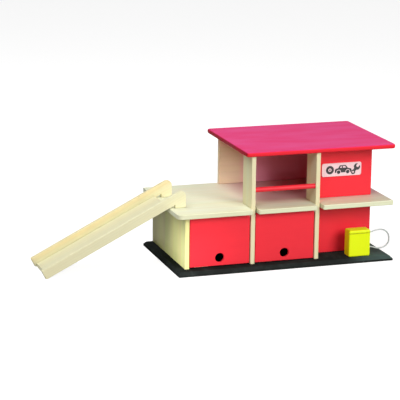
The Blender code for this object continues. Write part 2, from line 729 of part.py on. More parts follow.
def fuel_pump(material):
    """A yellow block with a saw cut across its front and two holes for the hose."""
    block = box("fuel_pump", (pump_x0, pump_y0, base_top + FIT), (pump_x1, pump_y1, pump_top), material)
    round_edges(block, PUMP_ROUNDING, ROUND_OVER_STEPS)
    groove_low = pump_top - PUMP_GROOVE_DROP - PUMP_GROOVE_WIDTH / 2
    groove = box("pump_groove", (pump_x0 - FIT, pump_y0 - PUMP_GROOVE_DEPTH, groove_low),
                 (pump_x1 + FIT, pump_y0 + PUMP_GROOVE_DEPTH, groove_low + PUMP_GROOVE_WIDTH),
                 None, cutters)
    cut(block, groove)
    for index, x in enumerate(pump_dowel_places()):
        hole(block, f"pump_dowel_bore_{index}", (x, pump_y, base_top + FIT), Z_AXIS,
             2 * (PUMP_DOWEL_IN_PUMP + FIT), PUMP_DOWEL_DIAMETER + 2 * FIT, SMALL_STEPS)
    for index, height in enumerate((HOSE_TOP_HEIGHT, HOSE_BOTTOM_HEIGHT)):
        hole(block, f"hose_hole_{index}", (pump_x1, pump_y, base_top + height), X_AXIS,
             2 * HOSE_HOLE_DEPTH, HOSE_DIAMETER + 2 * FIT, SMALL_STEPS)
    return block


def pump_dowels(material):
    low = base_top - PUMP_DOWEL_IN_BASE
    high = base_top + FIT + PUMP_DOWEL_IN_PUMP
    places = [(x, pump_y, (low + high) / 2) for x in pump_dowel_places()]
    return like_rods("pump_dowel", places, Z_AXIS, high - low, PUMP_DOWEL_DIAMETER, material)


def smooth_route(points, spacing):
    """Points along a smooth curve through the given ones, about a spacing apart."""
    route = [points[0]]
    for index in range(len(points) - 1):
        before = points[max(index - 1, 0)]
        start, end = points[index], points[index + 1]
        after = points[min(index + 2, len(points) - 1)]
        steps = max(1, round((end - start).length / spacing))
        for step in range(1, steps + 1):
            t = step / steps
            route.append(0.5 * (2 * start + (end - before) * t
                                + (2 * before - 5 * start + 4 * end - after) * t ** 2
                                + (3 * start - before - 3 * end + after) * t ** 3))
    return route


def pump_hose(material):
    """The stiff hose: out of the pump's upper hole, round in a loop and into the lower one."""
    seat = FIT - HOSE_HOLE_DEPTH
    loop = ((seat, HOSE_TOP_HEIGHT), (seat / 2, HOSE_TOP_HEIGHT), *HOSE_LOOP,
            (seat / 2, HOSE_BOTTOM_HEIGHT), (seat, HOSE_BOTTOM_HEIGHT))
    points = [Vector((pump_x1 + out, pump_y, base_top + height)) for out, height in loop]
    curve = bpy.data.curves.new("pump_hose", "CURVE")
    curve.dimensions = "3D"
    curve.bevel_depth = HOSE_DIAMETER / 2
    curve.bevel_resolution = 2
    curve.use_fill_caps = True
    route = smooth_route(points, HOSE_POINT_SPACING)
    line = curve.splines.new("POLY")
    line.points.add(len(route) - 1)
    for point, place in zip(line.points, route):
        point.co = (*place, 1)
    curve.materials.append(material)
    hose = bpy.data.objects.new("pump_hose", curve)
    parts.objects.link(hose)
    return hose


def ramp_level(x):
    """Height of the rails' lower edge over the ground at a place along X."""
    return (x - ramp_heel.x) * math.tan(ramp_slope)


def rail_outline():
    """A rail from its lower end up to the foot that rests on the floor board."""
    toe = Vector((ramp_x0, 0, 0))
    toe_top = toe + ramp_up * (RAMP_RAIL_HEIGHT + ramp_up.dot(ramp_heel - toe))
    notch_x = floor_x0 + RAMP_NOTCH
    end_x = notch_x + RAMP_FOOT
    sole = floor_top + FIT
    end_top = ramp_level(end_x) + RAMP_RAIL_HEIGHT / math.cos(ramp_slope)
    corner = math.pi / 2 - ramp_slope
    reach = RAMP_END_RADIUS / math.tan(corner / 2)
    centre = (end_x - RAMP_END_RADIUS, end_top - reach)
    return ([(toe.x, toe.z), (ramp_heel.x, 0), (notch_x, ramp_level(notch_x)), (notch_x, sole),
             (end_x, sole)]
            + arc(centre, RAMP_END_RADIUS, 0, 90 + math.degrees(ramp_slope), 2 * CORNER_STEPS)
            + [(toe_top.x, toe_top.z)])


def ramp_board_outline():
    """The board between the rails, flush with their lower edges, planed at both ends."""
    start = ramp_heel + ramp_along * FIT
    end = (floor_x0 - RAMP_LIFT, ramp_level(floor_x0 - RAMP_LIFT))
    thick_up = RAMP_BOARD_THICK / math.cos(ramp_slope)
    start_top = start + ramp_up * (RAMP_BOARD_THICK - RAMP_NOSE)
    start_back = start + ramp_up * RAMP_BOARD_THICK + ramp_along * RAMP_NOSE
    return [(start.x, start.z), end, (end[0], end[1] + thick_up - RAMP_NOSE),
            (end[0] - RAMP_NOSE, ramp_level(end[0] - RAMP_NOSE) + thick_up),
            (start_back.x, start_back.z), (start_top.x, start_top.z)]


def brad_places(face_y, towards_board):
    """Centres of the brads that join a rail to the ramp board."""
    middle = face_y + towards_board * (RAMP_BRAD_IN_BOARD - RAMP_BRAD_IN_RAIL) / 2
    length = (floor_x0 - ramp_heel.x) / math.cos(ramp_slope)
    places = []
    for share in RAMP_BRAD_PLACES:
        point = ramp_heel + ramp_along * (share * length) + ramp_up * (RAMP_BOARD_THICK / 2)
        places.append((point.x, middle, point.z))
    return places


def ramp(wood, steel):
    """Channel-shaped ramp: a board between two rails, whose feet rest on the floor board."""
    front_face, rear_face = ramp_inner_front_y, ramp_inner_rear_y
    board = plate("ramp_board", ramp_board_outline(), RAMP_CHANNEL - 2 * FIT, XZ_PLANE,
                  (0, ramp_y, 0), wood)
    round_edges(board, RAMP_BOARD_ROUNDING)
    rails = []
    for side, face, towards in (("front", front_face, -1), ("rear", rear_face, 1)):
        middle = face + towards * RAMP_RAIL_THICK / 2
        rail = plate(f"ramp_rail_{side}", rail_outline(), RAMP_RAIL_THICK, XZ_PLANE,
                     (0, middle, 0), wood)
        round_edges(rail, RAMP_RAIL_ROUNDING)
        rails.append(rail)
        for index, (x, y, z) in enumerate(brad_places(face, -towards)):
            length = RAMP_BRAD_IN_RAIL + RAMP_BRAD_IN_BOARD + 2 * FIT
            seat = rod(f"ramp_brad_seat_{side}_{index}", (x, y, z), Y_AXIS, length,
                       RAMP_BRAD_DIAMETER + 2 * FIT, None, cutters, SMALL_STEPS)
            cut(rail, seat)
            cut(board, seat)
    brads = like_rods("ramp_brad", brad_places(front_face, 1) + brad_places(rear_face, -1),
                      Y_AXIS, RAMP_BRAD_IN_RAIL + RAMP_BRAD_IN_BOARD, RAMP_BRAD_DIAMETER, steel)
    put_under("ramp_seat", (floor_x0 + RAMP_NOTCH, ramp_y, floor_top), (board, *rails, *brads))


def main():
    clear_scene()
    paint = make_materials()
    base_board(paint["black"])
    base_screws(paint["steel"])
    side_panel_left(paint["wood"])
    partition_left(paint["wood"])
    partition_right(paint["wood"])
    walls(paint["wood"], paint["red"])
    floor_board(paint["wood"])
    roof_board(paint["red"])
    roof_dowels(paint["wood"])
    railing(paint["red"])
    bays = (("left", side_x1, post_1_x0), ("middle", post_1_x1, post_2_x0))
    for side, x0, x1 in bays:
        door(side, x0, x1, paint["red"], paint["steel"])
        door_stop(side, x0, paint["wood"])
    sign_plate(paint["sign"])
    fuel_pump(paint["yellow"])
    pump_dowels(paint["wood"])
    pump_hose(paint["hose"])
    ramp(paint["wood"], paint["steel"])


main()
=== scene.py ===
"""Looks of the wooden toy garage: finishes, sign print, hose, floor, light and camera.

Metres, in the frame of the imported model: +X runs along the front from the ramp to the fuel pump,
+Y points to the back, +Z is up, and the origin is the centre of the base board's underside.
"""
import math

import bmesh
import bpy
from mathutils import Matrix, Vector


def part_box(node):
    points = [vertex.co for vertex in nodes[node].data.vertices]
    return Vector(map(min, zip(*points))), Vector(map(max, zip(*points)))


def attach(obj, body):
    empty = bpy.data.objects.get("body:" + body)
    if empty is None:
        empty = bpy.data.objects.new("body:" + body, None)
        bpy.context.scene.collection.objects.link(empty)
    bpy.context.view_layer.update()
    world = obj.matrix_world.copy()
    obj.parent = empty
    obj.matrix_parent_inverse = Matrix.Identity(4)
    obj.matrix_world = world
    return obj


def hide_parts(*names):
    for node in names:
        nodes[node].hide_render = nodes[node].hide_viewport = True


# Camera, found from the photograph's perspective
CAMERA_AIM = (-0.1179, 0.07775, 0.1)
CAMERA_AZIMUTH = -18.350        # degrees from straight ahead, negative to the left
CAMERA_ELEVATION = 13.983
CAMERA_ROLL = 0.623
CAMERA_DISTANCE = 3.5656
CAMERA_LENS = 157.08            # millimetres on a sensor of 36
CAMERA_SENSOR = 36.0
CAMERA_CLIP = 40.0

# Light
SKY_LEVEL = 0.04                # what the world gives to diffuse surfaces
SKY_COLOUR = (0.96, 0.98, 1.0)
WHITE = (1.0, 1.0, 1.0)
GARAGE_MIDDLE = (0.0, 0.0, 0.1)
KEY_PLACE = (0.9, -2.7, 1.4)
KEY_SIZE = 1.5
KEY_POWER = 81.0
KEY_COLOUR = (1.0, 0.985, 0.95)
TOP_PLACE = (-1.0, 0.35, 2.4)
TOP_SIZE = 1.4
TOP_POWER = 37.0
FILL_PLACE = (-1.5, -1.6, 1.6)
FILL_SIZE = 1.0
FILL_POWER = 18.0
SIDE_PLACE = (-1.1, -0.92, 0.03)
SIDE_AIM = (-0.2, -0.09, 0.03)  # the left side panel, and nothing above it
SIDE_SIZE = 0.08
SIDE_POWER = 0.036
SIDE_SPREAD = 8.0               # degrees
WIDE_SPREAD = 180.0             # of the lamps without a cone
FLOOR_SIZE = 12.0
FLOOR_ROUGHNESS = 0.9
FLOOR_SHADE = 0.12              # what the floor gives back onto the garage
FLOOR_SEEN = 0.8                # how pale the floor itself looks
FLOOR_GLOW = 0.5                # share of the floor that shows white whatever falls on it
FLOOR_GLOW_LEVEL = 1.7

# Hose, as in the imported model: its loop outwards from the pump and upwards from the base board
HOSE_DIAMETER = 0.0030
HOSE_SEAT = 0.0057              # length of each end inside its hole
HOSE_TOP_HEIGHT = 0.0462
HOSE_BOTTOM_HEIGHT = 0.0164
HOSE_LOOP = (
    (0.0030, 0.0463),
    (0.0085, 0.0472),
    (0.0150, 0.0490),
    (0.0225, 0.0500),
    (0.0300, 0.0496),
    (0.0368, 0.0470),
    (0.0420, 0.0425),
    (0.0451, 0.0362),
    (0.0461, 0.0289),
    (0.0447, 0.0219),
    (0.0405, 0.0163),
    (0.0345, 0.0129),
    (0.0270, 0.0116),
    (0.0195, 0.0120),
    (0.0115, 0.0143),
    (0.0045, 0.0160),
)
HOSE_STEPS = 6                  # drawn points between two of the loop's points
HOSE_ROUNDNESS = 4

# Print on the sign. Its shapes are in units of the print's height, upwards from its foot.
PRINT_HEIGHT = 0.0172
PRINT_PROUD = 0.00008
PRINT_THICK = 0.00006
PRINT_SHIFT = 0.003             # the print stands a little to the right of the sign's middle
PRINT_MIDDLE = 0.5
FULL_CIRCLE = (0, 360)          # degrees
CIRCLE_STEPS = 24
TYRE_LEFT = 0.0
TYRE_RADII = (0.5, 0.20, 0.10)  # tread, rim and hub
CAR_LEFT = 1.12
CAR_BODY = (
    (0.0, 0.14), (0.0, 0.50), (0.12, 0.61), (0.40, 0.66), (0.60, 1.0), (1.34, 1.0), (1.64, 0.65),
    (1.98, 0.58), (2.10, 0.46), (2.10, 0.14),
)
CAR_WINDOWS = (
    ((0.99, 0.70), (0.99, 0.88), (1.27, 0.88), (1.42, 0.70)),
    ((0.64, 0.70), (0.74, 0.88), (0.87, 0.88), (0.87, 0.70)),
)
CAR_WHEELS = (0.48, 1.62)       # along the car
CAR_WHEEL_HEIGHT = 0.20
CAR_WHEEL_RADIUS = 0.22
CAR_ARCH_RADIUS = 0.29
CAR_ARCH_ENDS = (-11, 191)
CAR_ARCH_STEPS = 12
SPANNER_LEFT = 3.22             # its shapes are about its own middle
SPANNER_JAW = ((-0.17, 0.66), (-0.39, 0.46), (-0.39, 0.12), (-0.17, -0.08), (-0.17, -0.27))
SPANNER_MOUTH = ((0.16, 0.34), (0.0, 0.24), (-0.16, 0.34))
SPANNER_RING = (0.0, -0.48)
SPANNER_RING_RADIUS = 0.27
SPANNER_RING_ENDS = (129, 411)
SPANNER_RING_STEPS = 20
SPANNER_HOLE_RADIUS = 0.11
SPANNER_LEAN = -38              # degrees

# In what follows, a pattern's scale is along the grain first and then across it. A curve is pairs
# of a pattern's value and what comes of it: a share of another colour, a roughness or a height.

# Natural wood
WOOD_PALE = (0.83, 0.81, 0.56)
WOOD_WARM = (0.86, 0.73, 0.42)
WOOD_GREEN = (0.76, 0.82, 0.49)
WOOD_LATE = (0.62, 0.50, 0.25)
WOOD_CREAM = (0.80, 0.86, 0.69)
WOOD_STRAW = (0.84, 0.88, 0.30)
# pale wood with a painted red reflection of the roof's red underside
WOOD_WITH_RED_BOUNCE = (0.88, 0.60, 0.50)
LOG_STEP = 0.31                 # along the log from one board to the next
LOG_ACROSS = (0.045, 0.013, 5)  # where boards are cut across the log: first place, step, places
LOG_UP = (-0.06, -0.017, 3)
RING_STRETCH = (0.05, 1, 1)
RINGS = {"scale": 62.0, "distortion": 3.2, "detail": 2.0}
RING_CURVE = ((0.0, 0.0), (0.55, 0.12), (0.9, 0.7), (1.0, 0.2))
RING_SHARE = 0.20
RING_DEPTH = 0.00003
WARM_BANDS = {"scale": (2.2, 46, 46), "detail": 2.0}
WARM_FROM, WARM_TO = 0.35, 0.65
WARMTH = 0.5
GREEN_BANDS = {"scale": (1.1, 23, 23), "detail": 1.0, "shift": (9, 2, 4)}
GREEN_CURVE = ((0.45, 0.0), (0.7, 0.3))
FIBRE = {"scale": (22, 1300, 1300), "detail": 3.0, "roughness": 0.6}
FIBRE_CURVE = ((0.35, 0.0), (0.75, 0.16))
FIBRE_DEPTH = 0.00005
FLECKS = {"scale": (120, 1900, 1900), "detail": 1.0, "shift": (3, 5, 7)}
FLECK_CURVE = ((0.60, 0.0), (0.72, 1.0))
FLECK_SHARE = 0.12
WOOD_ROUGHNESS = ((0.3, 0.40), (0.7, 0.54))
WOOD_IOR = 1.45
WOOD_GLOSS = 0.1                # low, or the wood turns white at the camera's shallow angle
WOOD_COAT = 0.02
WOOD_COAT_ROUGHNESS = 0.32

# Painted shade and painted red reflection on one face of some boards: the tone, the way the face
# looks, and the levels of an axis in metres from which and to which the tone grows
# painted shade: the left side panel's outer face darker towards the back
WOOD_REAR_SHADE = (0.30, 0.27, 0.105)
PANEL_REAR_SHADE = (WOOD_REAR_SHADE, (0, -1), ((1, 0.0, 0.15),))
# painted shadow of the roof on the room's floor, reddened by painted reflection of the red paint
# around it
WOOD_ROOM_SHADOW = (0.66, 0.42, 0.42)
ROOM_FLOOR_SHADOW = (WOOD_ROOM_SHADOW, (2, 1), ((0, -0.10, 0.0), (1, -0.09, -0.03)))
# painted red reflection and painted shade on the upper rear wall's front face inside the room
WOOD_ROOM_RED_BOUNCE = (0.95, 0.40, 0.55)
ROOM_WALL_RED_BOUNCE = (WOOD_ROOM_RED_BOUNCE, (1, -1), ((0, -0.03, 0.01),))
FACING_CURVE = ((0.45, 0.0), (0.95, 1.0))

# Painted wood
RED = (0.88, 0.028, 0.045)
RED_DEEP = (0.74, 0.018, 0.040)
# painted sheen: the roof's top faces reflecting cool light from above
ROOF_TOP_SHEEN = (0.72, 0.046, 0.22)
# painted shade on the roof's left end
ROOF_LEFT_SHADE = (0.27, 0.004, 0.012)
YELLOW = (0.81, 0.98, 0.003)
YELLOW_DEEP = (0.82, 0.80, 0.003)
# painted red reflection on the pump's top
PUMP_TOP_REFLECTION = (0.98, 0.97, 0.01)
# painted red reflection on the pump's left face
PUMP_LEFT_REFLECTION = (0.98, 0.93, 0.003)
PAINT_STEP = 0.29
PAINT_ACROSS, PAINT_UP = 0.05, -0.07
COATS = {"scale": (9, 30, 30), "detail": 3.0, "roughness": 0.55}
COATS_CURVE = ((0.35, 0.0), (0.75, 0.28))
PAINTED_FIBRE = {"scale": (14, 620, 620), "detail": 3.0, "roughness": 0.6}
PAINTED_FIBRE_CURVE = ((0.40, 0.0), (0.80, 0.14))
PAINTED_FIBRE_DEPTH = 0.00005
PAINTED_RING_DEPTH = 0.000025
PAINT_PEEL_SCALE, PAINT_PEEL_DEPTH = 900.0, 0.00001
RED_ROUGHNESS, ROOF_ROUGHNESS, PUMP_ROUGHNESS = 0.42, 0.5, 0.36
SMOOTHER, ROUGHER = (0.3, -0.05), (0.7, 0.06)   # thick and thin coats
PAINT_IOR = 1.46
PAINT_GLOSS = 0.3
ROOF_GLOSS = 0.05               # low, or its left end turns grey at the camera's shallow angle

# Saw cut across the fuel pump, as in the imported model
GROOVE_DROP = 0.0063            # pump's top down to the cut's centre
GROOVE_WIDTH = 0.0018
GROOVE_DEPTH = 0.0025
GROOVE_SKIN = 0.00025
GROOVE_SHADE_SHARE = 0.35             # how much painted shade in the cut darkens the paint
# colour of the painted shade in the saw cut
GROOVE_SHADE = (0.16, 0.13, 0.02)

# Black paint of the base board
BLACK = (0.019, 0.022, 0.021)
BLACK_WORN = (0.040, 0.048, 0.045)
BLACK_SHEEN = (0.10, 0.16, 0.15)        # painted sheen on the top faces at the pump's end
SHEEN_FROM, SHEEN_TO = 0.12, 0.19       # across the base board, in metres
SCUFFS = {"scale": (60, 18, 60), "detail": 4.0, "roughness": 0.65, "turn": (0, 0, 0.4)}
DUST = {"scale": 26.0, "detail": 5.0, "roughness": 0.6}
WORN_CURVE = ((0.22, 0.0), (0.42, 0.7))
SHEEN_CURVE = ((0.3, 0.75), (0.7, 1.0))
BASE_ROUGHNESS = ((0.35, 0.34), (0.7, 0.46))
BASE_PEEL_SCALE, BASE_PEEL_DEPTH = 700.0, 0.00002
BASE_IOR = 1.5
BASE_GLOSS = 0.0

# Sign
# the pink is a painted reflection of the red wall
SIGN_PINK, SIGN_PALE = (0.82, 0.60, 0.64), (0.88, 0.70, 0.73)
SIGN_MOTTLE = {"scale": 140.0, "detail": 3.0, "roughness": 0.6}
SIGN_CURVE = ((0.3, 0.0), (0.7, 1.0))
SIGN_ROUGHNESS = ((0.3, 0.38), (0.7, 0.5))
SIGN_GRIT_SCALE, SIGN_GRIT_DEPTH = 1500.0, 0.00001
INK_FULL, INK_THIN = (0.012, 0.012, 0.014), (0.05, 0.045, 0.05)
INK_COVER = {"scale": 900.0, "detail": 3.0, "roughness": 0.7}
INK_CURVE = ((0.45, 0.0), (0.75, 1.0))
INK_ROUGHNESS = ((0.3, 0.42), (0.7, 0.6))

# Clear hose
HOSE_GREY, HOSE_PALE = (0.56, 0.61, 0.60), (0.66, 0.70, 0.69)
HOSE_WAVE_SCALE, HOSE_WAVE_DEPTH = 260.0, 0.00004
HOSE_CURVE = ((0.35, 0.0), (0.65, 1.0))
HOSE_ROUGHNESS = ((0.3, 0.16), (0.7, 0.28))
HOSE_CLEARNESS = 0.15
HOSE_IOR = 1.4

# Steel of screws, brads and pins
STEEL_DARK, STEEL_BRIGHT = (0.55, 0.55, 0.53), (0.70, 0.70, 0.68)
STEEL_LINES = {"scale": (900, 900, 4000), "detail": 2.0}
STEEL_ROUGHNESS = ((0.3, 0.22), (0.7, 0.38))
STEEL_LINE_DEPTH = 0.00001

# First seed of each kind of piece, so that no two boards show the same grain
BOARD_SEED, DOWEL_SEED, FRONT_SEED, ROOF_SEED, PUMP_SEED, SIDE_SEED = 1, 20, 30, 40, 50, 60

# How a board's grain direction is turned onto X, in radians about X, Y and Z
ALONG_X = (0, 0, 0)
ALONG_Z = (0, math.pi / 2, 0)

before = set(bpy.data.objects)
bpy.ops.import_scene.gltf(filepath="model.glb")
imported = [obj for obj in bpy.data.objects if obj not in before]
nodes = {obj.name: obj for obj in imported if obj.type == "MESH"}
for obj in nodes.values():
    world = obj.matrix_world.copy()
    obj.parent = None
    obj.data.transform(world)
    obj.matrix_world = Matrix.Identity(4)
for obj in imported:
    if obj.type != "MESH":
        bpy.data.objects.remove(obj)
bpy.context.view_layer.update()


def put(name, data, material, body):
    """Add an object that rides on a body."""
    piece = bpy.data.objects.new(name, data)
    bpy.context.scene.collection.objects.link(piece)
    data.materials.append(material)
    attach(piece, body)
    return piece


class Finish:
    """A material, with short calls for the nodes that its surface is worked out from."""

    def __init__(self, name):
        self.material = bpy.data.materials.new(name)
        self.material.use_nodes = True
        self.tree = self.material.node_tree
        self.surface = self.tree.nodes["Principled BSDF"]
        self.place = self.add("ShaderNodeTexCoord").outputs["Object"]

    def add(self, kind, settings=(), **inputs):
        node = self.tree.nodes.new(kind)
        for key, value in dict(settings).items():
            setattr(node, key, value)
        for key, value in inputs.items():
            self.feed(node.inputs[key.replace("_", " ")], value)
        return node

    def feed(self, socket, value):
        if isinstance(value, bpy.types.NodeSocket):
            self.tree.links.new(value, socket)
        else:
            socket.default_value = value

    def set(self, **inputs):
        for key, value in inputs.items():
            self.feed(self.surface.inputs[key.replace("_", " ")], value)

    def mapped(self, vector, scale=(1, 1, 1), turn=(0, 0, 0), shift=(0, 0, 0)):
        return self.add("ShaderNodeMapping", Vector=vector, Scale=scale, Rotation=turn,
                        Location=shift).outputs["Vector"]

    def noise(self, vector, scale, detail=2.0, roughness=0.5):
        return self.add("ShaderNodeTexNoise", Vector=vector, Scale=scale, Detail=detail,
                        Roughness=roughness).outputs["Fac"]

    def streaks(self, vector, scale, detail, roughness=0.5, turn=(0, 0, 0), shift=(0, 0, 0)):
        """Noise with a scale of its own along each axis."""
        return self.noise(self.mapped(vector, scale, turn, shift), 1.0, detail, roughness)

    def rings(self, vector):
        """Growth rings about X, drawn out along it."""
        settings = {"wave_type": "RINGS", "rings_direction": "X", "wave_profile": "SAW"}
        return self.add("ShaderNodeTexWave", settings, Vector=self.mapped(vector, RING_STRETCH),
                        Scale=RINGS["scale"], Distortion=RINGS["distortion"],
                        Detail=RINGS["detail"]).outputs["Fac"]

    def ramp(self, value, *stops):
        """A curve through (input, output) pairs, as a grey ramp."""
        node = self.add("ShaderNodeValToRGB", Fac=value)
        band = node.color_ramp.elements
        while len(band) < len(stops):
            band.new(stops[-1][0])
        for element, (position, level) in zip(band, stops):
            element.position = position
            element.color = (level, level, level, 1)
        return node.outputs["Color"]

    def mix(self, share, first, second):
        node = self.add("ShaderNodeMix", {"data_type": "RGBA"})
        self.feed(node.inputs[0], share)
        for socket, colour in ((node.inputs[6], first), (node.inputs[7], second)):
            self.feed(socket, colour if isinstance(colour, bpy.types.NodeSocket) else (*colour, 1))
        return node.outputs[2]

    def calc(self, operation, first, second=0.0, third=0.0):
        node = self.add("ShaderNodeMath", {"operation": operation})
        for socket, value in zip(node.inputs, (first, second, third)):
            self.feed(socket, value)
        return node.outputs[0]

    def between(self, axis, start, end):
        """0 up to a level of X, Y or Z, and from there growing smoothly to 1 at another level."""
        place = self.add("ShaderNodeSeparateXYZ", Vector=self.place).outputs[axis]
        return self.add("ShaderNodeMapRange", {"interpolation_type": "SMOOTHSTEP"}, Value=place,
                        From_Min=start, From_Max=end).outputs["Result"]

    def facing(self, axis, sense=1):
        """1 on faces that look along X, Y or Z, or against it, and 0 on faces square to that."""
        normal = self.add("ShaderNodeNewGeometry").outputs["Normal"]
        level = self.add("ShaderNodeSeparateXYZ", Vector=normal).outputs[axis]
        return self.ramp(self.calc("MULTIPLY", level, sense), *FACING_CURVE)

    def inside(self, low, high):
        """1 between two levels of Y and Z, and 0 elsewhere."""
        place = self.add("ShaderNodeSeparateXYZ", Vector=self.place).outputs
        bands = [self.calc("COMPARE", place[axis], (low[axis] + high[axis]) / 2,
                           (high[axis] - low[axis]) / 2) for axis in (1, 2)]
        return self.calc("MULTIPLY", *bands)

    def relief(self, height, depth, under=None):
        """Bump of a depth in metres, on top of another bump if one is given."""
        node = self.add("ShaderNodeBump", Height=height, Distance=depth, Strength=1.0)
        if under:
            self.feed(node.inputs["Normal"], under)
        return node.outputs["Normal"]


def along_slope():
    """The ramp's own grain direction, from its board's box."""
    low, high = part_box("ramp_board")
    return (0, math.atan2(high.z - low.z, high.x - low.x), 0)


def cut_from_log(seed):
    """Where in the log a board is cut: along it, across it and up."""
    across, up = (first + step * (seed % places) for first, step, places in (LOG_ACROSS, LOG_UP))
    return (LOG_STEP * seed, across, up)


def natural_wood(name, turn, seed, warmth=WARMTH, pale=WOOD_PALE, change=None):
    """Pale varnished wood: growth rings, fibres, flecks and broad bands of tint along the grain.

    `change` is a tone of painted shade and painted red reflection, the faces that take it and the
    spans over which it grows.
    """
    finish = Finish(name)
    board = finish.mapped(finish.place, turn=turn, shift=cut_from_log(seed))
    late = finish.ramp(finish.rings(board), *RING_CURVE)
    fibre = finish.streaks(board, **FIBRE)
    flecks = finish.ramp(finish.streaks(board, **FLECKS), *FLECK_CURVE)
    warm = finish.ramp(finish.streaks(board, **WARM_BANDS), (WARM_FROM, 0.0), (WARM_TO, warmth))
    greens = finish.ramp(finish.streaks(board, **GREEN_BANDS), *GREEN_CURVE)
    colour = finish.mix(warm, pale, WOOD_WARM)
    colour = finish.mix(greens, colour, WOOD_GREEN)
    colour = finish.mix(finish.calc("MULTIPLY", late, RING_SHARE), colour, WOOD_LATE)
    colour = finish.mix(finish.ramp(fibre, *FIBRE_CURVE), colour, WOOD_LATE)
    colour = finish.mix(finish.calc("MULTIPLY", flecks, FLECK_SHARE), colour, WOOD_LATE)
    # painted shade and painted red reflection, by the direction the faces look and by place
    if change:
        tone, face, spans = change
        share = finish.facing(*face)
        for span in spans:
            share = finish.calc("MULTIPLY", finish.between(*span), share)
        colour = finish.mix(share, colour, tone)
    finish.set(Base_Color=colour, Roughness=finish.ramp(fibre, *WOOD_ROUGHNESS), IOR=WOOD_IOR,
               Specular_IOR_Level=WOOD_GLOSS, Coat_Weight=WOOD_COAT,
               Coat_Roughness=WOOD_COAT_ROUGHNESS)
    ringed = finish.relief(late, RING_DEPTH)
    finish.set(Normal=finish.relief(fibre, FIBRE_DEPTH, under=ringed))
    return finish.material


def painted_wood(name, colour, deep, turn, seed, roughness, top=None, left=None, groove=None,
                 gloss=PAINT_GLOSS):
    """Satin paint over sanded wood: the grain shows a little, and so do thin and thick coats.

    Faces that look up take the colour `top`, and those that look to the left `left`: a painted
    reflection on the roof's top and on the pump's top and left faces, and painted shade on the
    roof's left end. A saw cut in `groove`, a box of two corners, is darkened with painted shade.
    """
    finish = Finish(name)
    board = finish.mapped(finish.place, turn=turn,
                          shift=(PAINT_STEP * seed, PAINT_ACROSS, PAINT_UP))
    coats = finish.streaks(board, **COATS)
    fibre = finish.streaks(board, **PAINTED_FIBRE)
    peel = finish.noise(board, PAINT_PEEL_SCALE, 1.0)
    base = colour
    # painted reflection and painted shade, by the direction the faces look
    if top:
        base = finish.mix(finish.facing(2), colour, top)
    if left:
        base = finish.mix(finish.facing(0, -1), base, left)
    shade = finish.mix(finish.ramp(coats, *COATS_CURVE), base, deep)
    shade = finish.mix(finish.ramp(fibre, *PAINTED_FIBRE_CURVE), shade, deep)
    # painted shade inside the saw cut
    if groove:
        cut_shade = finish.calc("MULTIPLY", finish.inside(*groove), GROOVE_SHADE_SHARE)
        shade = finish.mix(cut_shade, shade, GROOVE_SHADE)
    levels = [(value, roughness + change) for value, change in (SMOOTHER, ROUGHER)]
    finish.set(Base_Color=shade, IOR=PAINT_IOR, Specular_IOR_Level=gloss,
               Roughness=finish.ramp(coats, *levels))
    grain = finish.relief(fibre, PAINTED_FIBRE_DEPTH)
    ringed = finish.relief(finish.rings(board), PAINTED_RING_DEPTH, under=grain)
    finish.set(Normal=finish.relief(peel, PAINT_PEEL_DEPTH, under=ringed))
    return finish.material


def black_base():
    """Black paint with a green cast, dusted and scuffed a little, with a painted sheen on its top
    towards the pump.
    """
    finish = Finish("black_gloss_paint")
    scuffs = finish.streaks(finish.place, **SCUFFS)
    dust = finish.noise(finish.place, **DUST)
    worn = finish.ramp(finish.calc("MULTIPLY", scuffs, dust), *WORN_CURVE)
    colour = finish.mix(worn, BLACK, BLACK_WORN)
    # painted sheen on the top faces towards the pump, mottled by the dust pattern
    sheen = finish.calc("MULTIPLY", finish.between(0, SHEEN_FROM, SHEEN_TO), finish.facing(2))
    sheen = finish.calc("MULTIPLY", sheen, finish.ramp(dust, *SHEEN_CURVE))
    peel = finish.noise(finish.place, BASE_PEEL_SCALE)
    finish.set(Base_Color=finish.mix(sheen, colour, BLACK_SHEEN), IOR=BASE_IOR,
               Specular_IOR_Level=BASE_GLOSS, Roughness=finish.ramp(dust, *BASE_ROUGHNESS),
               Normal=finish.relief(peel, BASE_PEEL_DEPTH))
    return finish.material


def sign_white():
    """Painted hardboard, white with a faint pink that is a painted reflection of the red wall."""
    finish = Finish("sign_paint")
    mottle = finish.noise(finish.place, **SIGN_MOTTLE)
    grit = finish.noise(finish.place, SIGN_GRIT_SCALE)
    finish.set(Base_Color=finish.mix(finish.ramp(mottle, *SIGN_CURVE), SIGN_PINK, SIGN_PALE),
               Roughness=finish.ramp(mottle, *SIGN_ROUGHNESS),
               Normal=finish.relief(grit, SIGN_GRIT_DEPTH))
    return finish.material


def sign_ink():
    """Black ink, thinner in places."""
    finish = Finish("sign_ink")
    cover = finish.noise(finish.place, **INK_COVER)
    finish.set(Base_Color=finish.mix(finish.ramp(cover, *INK_CURVE), INK_FULL, INK_THIN),
               Roughness=finish.ramp(cover, *INK_ROUGHNESS))
    return finish.material


def clear_plastic():
    """Clear soft tube, a little milky, with the faint waves of its extrusion."""
    finish = Finish("clear_hose")
    waves = finish.noise(finish.place, HOSE_WAVE_SCALE)
    finish.set(Base_Color=finish.mix(finish.ramp(waves, *HOSE_CURVE), HOSE_GREY, HOSE_PALE),
               Roughness=finish.ramp(waves, *HOSE_ROUGHNESS),
               Transmission_Weight=HOSE_CLEARNESS, IOR=HOSE_IOR,
               Normal=finish.relief(waves, HOSE_WAVE_DEPTH))
    return finish.material


